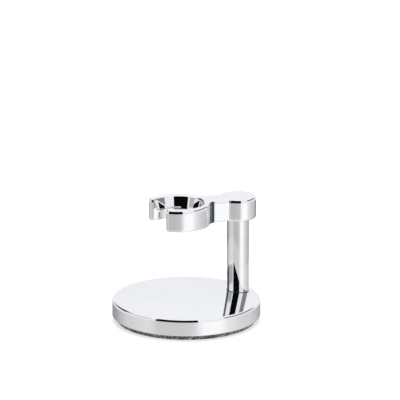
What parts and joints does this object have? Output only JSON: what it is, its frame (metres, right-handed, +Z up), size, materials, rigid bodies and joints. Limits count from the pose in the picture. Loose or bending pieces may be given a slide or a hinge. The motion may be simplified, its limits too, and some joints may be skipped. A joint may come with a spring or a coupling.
{
  "type": "razor stand",
  "caption": "Chromed stand for a safety razor: weighted round base, upright post near the rim and an arm ending in an open ring that steadies the handle.",
  "frame": {"origin": "centre of the foot pad's underside", "axes": "+Z up; +X from the middle of the base to the post, so the ring opens towards -X; the stand is its own mirror image across the XZ plane"},
  "size_m": [0.07, 0.07, 0.0579],
  "materials": {
    "arm_chrome": "bright polished chrome plate",
    "post_chrome": "bright polished chrome plate",
    "gasket_rubber": "matt black rubber",
    "base_chrome": "bright polished chrome plate",
    "ballast_steel": "plain rolled steel",
    "rod_steel": "zinc plated",
    "washer_steel": "zinc plated",
    "spring_washer_steel": "plain spring steel",
    "nut_steel": "zinc plated",
    "pad_rubber_cork": "matt speckled rubber and cork"
  },
  "bodies": {
    "root": {"holder_arm": "arm_chrome", "post_tube": "post_chrome", "foot_gasket": "gasket_rubber", "base_shell": "base_chrome", "ballast_plate": "ballast_steel", "tie_rod": "rod_steel", "flat_washer": "washer_steel", "spring_washer": "spring_washer_steel", "thin_nut": "nut_steel", "foot_pad": "pad_rubber_cork"}
  },
  "joints": []
}
